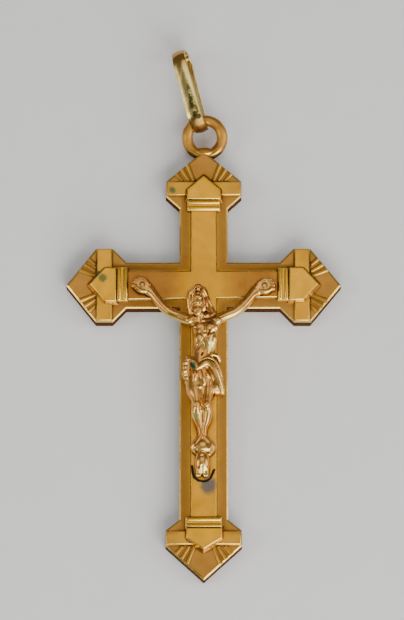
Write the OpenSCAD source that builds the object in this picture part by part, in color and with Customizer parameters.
// Small cross pendant: a struck cross with relief ends and a soldered eye,
// a cast figure on its face, and a band bail hooked into the eye.
// Sizes are millimetres. The origin is on the flat back where the two beams cross,
// +Y points to the eye and +Z is the face. The pendant lies on its back.

/* [Cross] */
// From the crossing to the tip of each side arm
arm_reach = 12.5; // [12:0.1:16]
// From the crossing to the tip of the head
head_reach = 12.7; // [12:0.1:16]
// From the crossing to the tip of the foot
foot_reach = 27.35; // [26:0.1:32]
// Width of the upright
post_w = 4.4; // [4.2:0.1:5]
// Width of the side arms
arm_w = 4.3; // [4.2:0.1:5]
// Width of each end where it is widest
end_w = 6.9; // [6.4:0.1:8]
// Thickness at the rim
rim_h = 1.5; // [1.3:0.1:2]
// Width of the small bevel round the rim
rim_bevel = 0.12; // [0.05:0.01:0.2]

/* [Ends] */
// From the tip to the shoulder where the end is widest
point_l = 2.9; // [2.6:0.1:3.4]
// Width of the raised band behind the shoulder
band_w = 1.4; // [1.2:0.1:1.6]
// Length of the flare from the band back to the beam
flare_l = 1.25; // [1:0.05:1.6]
// Height of the band's top above the back
band_h = 1.8; // [1.7:0.05:2.1]
// Width of the raised pentagon plaque at its foot
plaque_w = 3.6; // [3:0.1:4]
// Height of the plaque's top above the back
plaque_h = 2.2; // [2.1:0.05:2.6]
// Width of each of the two bars behind a plaque
bar_w = 0.5; // [0.4:0.05:0.55]
// Height of the rays in the pointed field
ray_h = 0.13; // [0.08:0.01:0.2]
// Width of a ray at the rim
ray_w = 0.46; // [0.3:0.02:0.5]
// Length of a ray
ray_l = 1.2; // [1:0.05:1.3]

/* [Raised band along the beams] */
// Its width on the upright
inner_post_w = 2.4; // [2:0.1:2.8]
// Its width on the side arms
inner_arm_w = 2.65; // [2:0.1:2.8]
// Height of its top above the back
inner_h = 1.85; // [1.75:0.05:2]
// How far the border beside it rises towards it
border_rise = 0.16; // [0.05:0.01:0.2]

/* [Eye] */
// Diameter of the eye's wire
eye_wire = 1.0; // [0.9:0.05:1.0]
// Diameter of the eye across the middle of its wire
eye_d = 3.2; // [3.15:0.05:3.3]
// How far the eye leans up from the plate
eye_lean = 11; // [10:1:12]

/* [Bail] */
// Length of the bail over its two round ends
bail_l = 8; // [7.6:0.1:9]
// Height of the bail as it stands on its lower run
bail_tall = 3.2; // [3.1:0.1:3.6]
// Width of the bail's band at its far end
bail_w = 1.2; // [1.1:0.05:1.3]
// Width of its upper run at the near end, over the eye
bail_near_w = 1.4; // [1.2:0.05:1.5]
// Width of its lower run at the near end, where it passes under the eye's wire
bail_neck_w = 0.95; // [0.9:0.05:1]
// Thickness of the bail's band
bail_t = 0.32; // [0.28:0.02:0.32]
// How far the bail is turned to the left
bail_turn = 15.1; // [13:0.1:17]
// How far the bail leans over to the left
bail_roll = 15; // [12:1:16]

/* [Figure] */
// Gap between the figure's flat back and the raised band
figure_gap = 0.03; // [0.02:0.01:0.06]

/* [Hidden] */

half_post = post_w / 2;
half_arm = arm_w / 2;
half_end = end_w / 2;
half_plaque = plaque_w / 2;
// How far every raised wall leans in for each millimetre that it rises
draft = 0.33;
// Depth at which raised pieces are rooted in the metal below them
root = 0.1;
// The two bars behind a plaque: the groove between them, how much shorter than the plaque
// they are at each side, and the height of their tops
bar_gap = 0.06;
bar_inset = 0.08;
bar_h = plaque_h - 0.05;

// The four ends, which the die gave slightly different proportions. Columns: turn from +Y,
// reach, half width of the beam, lengths of the point, the band and the flare, and how far
// the plaque's point, its two shoulders and its straight back lie behind the tip
TURN = 0;
REACH = 1;
HALF_BEAM = 2;
POINT_L = 3;
BAND_W = 4;
FLARE_L = 5;
POINT = 6;
SHOULDER = 7;
BACK = 8;
ends = [
    [0, head_reach, half_post, point_l, band_w, flare_l - 0.1, 2.2, 3.75, 4.65],
    [90, arm_reach, half_arm, point_l - 0.2, band_w + 0.1, flare_l, 1.85, 3.45, 4.4],
    [180, foot_reach, half_post, point_l + 0.25, band_w, flare_l - 0.25, 2.45, 3.7, 4.55],
    [270, arm_reach, half_arm, point_l - 0.1, band_w + 0.1, flare_l, 1.8, 3.4, 4.55],
];
// Where the eye's wire is rooted under the tip, and the eye's centre seen from above
eye_sink = 0.25;
eye_below_rim = 0.08;
eye_root = [0.1, head_reach - eye_sink];
eye_centre = eye_root + [0, eye_d / 2 * cos(eye_lean)];
// Distance from the eye's centre to the bail's near end, how far the bail's middle line passes
// left of that centre, and the bail's own centre from above
bail_hook = 0.47;
bail_aside = 0.13;
bail_centre = eye_centre + (bail_hook + bail_l / 2) * [-sin(bail_turn), cos(bail_turn)]
    - bail_aside * [cos(bail_turn), sin(bail_turn)];
// Angles of the rays from the end's axis, and the point they fan out from, behind the shoulder
ray_angles = [22, 32, 42];
ray_origin = 2.1;

function turned(p, angle) =
    [p.x * cos(angle) - p.y * sin(angle), p.x * sin(angle) + p.y * cos(angle)];
function turned_all(points, angle) = [for (p = points) turned(p, angle)];
function unit(v) = v / norm(v);
function left_of(v) = [-v.y, v.x];

// A counter-clockwise outline moved inwards by d, each side staying parallel to itself
function inset(points, d) =
    let (count = len(points))
    [for (i = [0:count - 1])
        let (into = left_of(unit(points[i] - points[(i + count - 1) % count])),
             out = left_of(unit(points[(i + 1) % count] - points[i])))
        points[i] + (into + out) * d / (1 + into * out)];

// The outline of one end that points along +Y, from its right side over the tip to its left.
// back is how far its flared sides run on towards the axis, under the beam
function end_outline(e, back = 0) =
    let (slope = e[FLARE_L] / (half_end - e[HALF_BEAM]),
         half_back = e[HALF_BEAM] - back,
         shoulder = e[REACH] - e[POINT_L],
         neck = shoulder - e[BAND_W],
         near = neck - e[FLARE_L] - back * slope)
    [
        [half_back, near],
        [half_end, neck],
        [half_end, shoulder],
        [0, e[REACH]],
        [-half_end, shoulder],
        [-half_end, neck],
        [-half_back, near],
    ];
// The whole cross: each end in turn, followed by the inner corner on its left
corners = [
    [-half_post, half_arm],
    [-half_post, -half_arm],
    [half_post, -half_arm],
    [half_post, half_arm],
];
cross_outline = [for (i = [0:3])
    each concat(turned_all(end_outline(ends[i]), ends[i][TURN]), [corners[i]])];
// A rectangle across the axis from near to far
function block(half_w, near, far) =
    [[-half_w, near], [half_w, near], [half_w, far], [-half_w, far]];

// A closed solid between two convex outlines that have the same number of points
module tapered(low_outline, high_outline, low, high) {
    count = len(low_outline);
    points = concat([for (p = low_outline) [p.x, p.y, low]],
                    [for (p = high_outline) [p.x, p.y, high]]);
    sides = [for (i = [0:count - 1])
        let (next = (i + 1) % count) [i + count, next + count, next, i]];
    polyhedron(points, concat([[for (i = [0:count - 1]) i]], sides,
                              [[for (i = [count - 1:-1:0]) i + count]]));
}

// A raised block with drafted walls over a counter-clockwise outline
module raised(outline, low, high) {
    tapered(outline, inset(outline, (high - low) * draft), low, high);
}

// One whole beam's relief: its rim, the border that slopes up, and the raised band on it
module beam(half, inner_w, near, far) {
    half_inner = inner_w / 2;
    lean = (inner_h - rim_h) * draft;
    tapered(block(half, near, far), block(half - rim_bevel, near, far),
            rim_h - rim_bevel, rim_h);
    tapered(block(half - rim_bevel, near, far), block(half_inner, near, far),
            rim_h - rim_bevel / 4, rim_h + border_rise);
    tapered(block(half_inner, near, far), block(half_inner - lean, near, far), rim_h, inner_h);
}

module plate() {
    edge = rim_h - rim_bevel;
    under_band = point_l + band_w / 2;
    linear_extrude(edge) polygon(cross_outline);
    for (e = ends)
        rotate(e[TURN]) {
            outline = end_outline(e, e[HALF_BEAM] / 2);
            tapered(outline, inset(outline, rim_bevel), edge, rim_h);
        }
    beam(half_post, inner_post_w, under_band - foot_reach, head_reach - under_band);
    rotate(90)
        beam(half_arm, inner_arm_w, under_band - arm_reach, arm_reach - under_band);
}

// One ray: a low ridge that grows from almost nothing beside the plaque to its height at the rim
module ray(angle, start, rim) {
    low = rim_h - root;
    left = turned([-ray_w / 2, 0], -angle);
    points = [
        [start.x, start.y, low],
        [rim.x + left.x, rim.y + left.y, low],
        [rim.x - left.x, rim.y - left.y, low],
        [rim.x, rim.y, rim_h + ray_h],
        [start.x, start.y, rim_h + ray_h / 4],
    ];
    polyhedron(points, [[2, 1, 0], [2, 3, 1], [1, 4, 0], [3, 4, 1], [4, 2, 0], [4, 3, 2]]);
}

// Where a ray at an angle from the axis meets the slanted rim, just inside its bevel
function rim_point(e, angle) =
    let (slope = e[POINT_L] / half_end,
         along = (e[POINT_L] + ray_origin) / (cos(angle) + slope * sin(angle)))
    [0, e[REACH] - e[POINT_L] - ray_origin] + (along - rim_bevel) * [sin(angle), cos(angle)];

module rays(e) {
    origin = [0, e[REACH] - e[POINT_L] - ray_origin];
    for (side = [-1, 1], angle = ray_angles) {
        rim = rim_point(e, angle);
        mirror([side < 0 ? 1 : 0, 0, 0])
            ray(angle, rim - ray_l * unit(rim - origin), rim);
    }
}

module end_relief(e) {
    reach = e[REACH];
    shoulder = reach - e[POINT_L];
    low = rim_h - rim_bevel;
    rotate(e[TURN]) {
        raised(block(half_end, shoulder - e[BAND_W], shoulder), low, band_h);
        rays(e);
        back = reach - e[BACK];
        raised([
            [-half_plaque, back],
            [half_plaque, back],
            [half_plaque, reach - e[SHOULDER]],
            [0, reach - e[POINT]],
            [-half_plaque, reach - e[SHOULDER]],
        ], rim_h, plaque_h);
        for (i = [0:1]) {
            far = back - i * (bar_w + bar_gap);
            raised(block(half_plaque - bar_inset, far - bar_w, far), inner_h - root, bar_h);
        }
        raised(block(half_plaque, back - 2 * (bar_w + bar_gap), back), rim_h, inner_h);
    }
}

// The eye is soldered under the tip of the head and leans up a little from it
module eye() {
    translate([eye_root.x, eye_root.y, rim_h - eye_below_rim - eye_wire / 2])
        rotate([eye_lean, 0, 0])
            translate([0, eye_d / 2, 0])
                rotate_extrude() translate([eye_d / 2, 0]) circle(d = eye_wire);
}

module cross() {
    color("#c39a45") {
        plate();
        for (e = ends) end_relief(e);
        eye();
    }
}

// The band's section: flat inside, gently rounded outside. x runs outwards from the inner face
module band_section(w) {
    bulge = 2 * w;
    intersection() {
        translate([0, -w / 2]) square([bail_t, w]);
        translate([bail_t - bulge, 0]) circle(bulge, $fn = 64);
    }
}

// A long oval loop that stands on its lower run, its length along Y, as wide as its widest part
module bail_loop() {
    bend = bail_tall / 2 - bail_t;
    straight = bail_l / 2 - bail_tall / 2;
    for (side = [-1, 1]) {
        translate([0, side * straight, 0])
            rotate([0, -90, 0])
                rotate([0, 0, side > 0 ? 0 : 180])
                    rotate_extrude(angle = 180) translate([bend, 0]) band_section(bail_near_w);
        translate([0, -straight, 0])
            rotate([-90, 0, 0])
                rotate([0, 0, side * 90])
                    linear_extrude(2 * straight) translate([bend, 0]) band_section(bail_near_w);
    }
}

// What the loop is cut to: even at the far end, wide above and narrow below at the near end
module bail_sides() {
    tall = bail_tall / 2 + root;
    near = -bail_l / 2 - root;
    hull() {
        translate([-bail_w / 2, -near - root, -tall]) cube([bail_w, root, 2 * tall]);
        translate([-bail_near_w / 2, near, tall - root]) cube([bail_near_w, root, root]);
        translate([-bail_neck_w / 2, near, -tall]) cube([bail_neck_w, root, root]);
    }
}

module bail() {
    lift = (bail_tall / 2) * cos(bail_roll) + bail_w / 2 * sin(bail_roll);
    color("#d9c177")
        translate([bail_centre.x, bail_centre.y, lift])
            rotate([0, 0, bail_turn])
                rotate([0, -bail_roll, 0])
                    intersection() {
                        bail_loop();
                        bail_sides();
                    }
}

// The figure's limbs. Columns: across, along, height of the middle above the seat,
// half width and half depth of the section there. What sinks below the seat is cut off flat
ACROSS = 0;
ALONG = 1;
HEIGHT = 2;
HALF_W = 3;
HALF_D = 4;
torso = [
    [-0.24, -3.26, 0.80, 0.45, 0.42],
    [0.10, -3.75, 0.62, 1.18, 0.55],
    [0.18, -4.60, 0.62, 1.12, 0.80],
    [0.12, -5.60, 0.58, 1.04, 0.76],
    [-0.06, -6.40, 0.50, 0.94, 0.66],
    [-0.08, -7.40, 0.50, 1.12, 0.74],
];
head = [
    [-0.52, -1.12, 0.92, 0.70, 0.88],
    [-0.52, -2.15, 1.15, 0.64, 0.84],
    [-0.56, -3.00, 1.20, 0.42, 0.52],
];
hair_left = [
    [-0.85, -1.05, 0.78, 0.64, 0.84],
    [-1.15, -1.95, 0.65, 0.40, 0.72],
    [-1.15, -2.85, 0.60, 0.36, 0.60],
];
hair_right = [
    [-0.35, -1.05, 0.80, 0.66, 0.86],
    [0.12, -1.95, 0.62, 0.42, 0.72],
    [0.72, -2.80, 0.55, 0.36, 0.58],
];
arm_left = [
    [-1.24, -3.48, 0.52, 0.46, 0.52],
    [-2.33, -3.05, 0.42, 0.39, 0.44],
    [-3.69, -2.18, 0.35, 0.36, 0.40],
    [-4.65, -0.95, 0.30, 0.36, 0.34],
];
arm_right = [
    [0.84, -3.53, 0.52, 0.46, 0.52],
    [2.02, -3.05, 0.42, 0.39, 0.44],
    [3.43, -2.23, 0.37, 0.41, 0.40],
    [4.40, -1.07, 0.31, 0.39, 0.34],
];
hand_left = [
    [-4.90, -0.60, 0.28, 0.40, 0.32],
    [-5.45, -0.40, 0.28, 0.44, 0.34],
    [-5.60, 0.15, 0.30, 0.52, 0.36],
    [-5.95, 0.10, 0.30, 0.42, 0.34],
];
hand_right = [
    [4.75, -0.70, 0.28, 0.42, 0.32],
    [5.25, -0.10, 0.28, 0.50, 0.34],
    [5.78, 0.05, 0.30, 0.48, 0.36],
    [5.80, -0.60, 0.28, 0.50, 0.34],
];
leg_left = [
    [-0.79, -8.40, 0.52, 0.76, 0.76],
    [-0.84, -10.00, 0.68, 0.65, 0.78],
    [-0.61, -11.50, 0.86, 0.46, 0.66],
    [-0.62, -12.20, 0.72, 0.50, 0.60],
    [-0.30, -13.80, 0.38, 0.25, 0.42],
];
leg_right = [
    [0.50, -8.40, 0.52, 0.74, 0.76],
    [0.25, -10.00, 0.70, 0.52, 0.78],
    [0.16, -11.50, 0.90, 0.38, 0.66],
    [0.30, -12.20, 0.76, 0.42, 0.60],
    [0.03, -13.80, 0.44, 0.25, 0.42],
];
foot_left = [
    [-0.30, -13.95, 0.36, 0.26, 0.40],
    [-0.80, -15.35, 0.30, 0.40, 0.42],
    [-0.40, -16.30, 0.40, 0.36, 0.44],
    [-0.42, -17.68, 0.24, 0.28, 0.32],
];
foot_right = [
    [0.03, -13.95, 0.42, 0.26, 0.40],
    [0.66, -15.35, 0.30, 0.40, 0.42],
    [0.12, -16.30, 0.42, 0.38, 0.46],
    [0.18, -17.68, 0.24, 0.28, 0.32],
];
instep = [
    [-0.10, -14.70, 0.42, 0.34, 0.38],
    [-0.10, -15.90, 0.50, 0.62, 0.44],
];
cloth = [
    [-0.15, -7.35, 0.58, 1.22, 0.82],
    [-0.25, -8.40, 0.68, 1.32, 0.92],
    [-0.20, -9.60, 0.66, 1.18, 0.86],
];
cloth_knot = [
    [-1.36, -7.50, 0.68, 0.40, 0.62],
    [-1.56, -8.35, 0.60, 0.34, 0.62],
    [-1.48, -9.45, 0.45, 0.28, 0.50],
];
cloth_sash = [
    [0.28, -7.60, 1.02, 0.34, 0.40],
    [0.98, -8.08, 0.78, 0.36, 0.42],
    [1.40, -9.00, 0.55, 0.34, 0.42],
    [1.64, -10.00, 0.34, 0.26, 0.34],
];
limbs = [
    torso, head, hair_left, hair_right, arm_left, arm_right, hand_left, hand_right,
    leg_left, leg_right, foot_left, foot_right, instep, cloth, cloth_knot, cloth_sash,
];

module section(row) {
    translate([row[ACROSS], row[ALONG], row[HEIGHT]])
        scale([row[HALF_W], min(row[HALF_W], row[HALF_D]), row[HALF_D]])
            sphere(1, $fn = 16);
}

// A limb skinned over its rows, each to the next
module limb(rows) {
    for (i = [0:len(rows) - 2])
        hull() {
            section(rows[i]);
            section(rows[i + 1]);
        }
}

module corpus() {
    color("#c8905a")
        translate([0, 0, inner_h + figure_gap])
            intersection() {
                for (rows = limbs) limb(rows);
                translate([-arm_reach, -foot_reach, 0]) cube([2 * arm_reach, foot_reach, 3]);
            }
}

cross();
corpus();
bail();
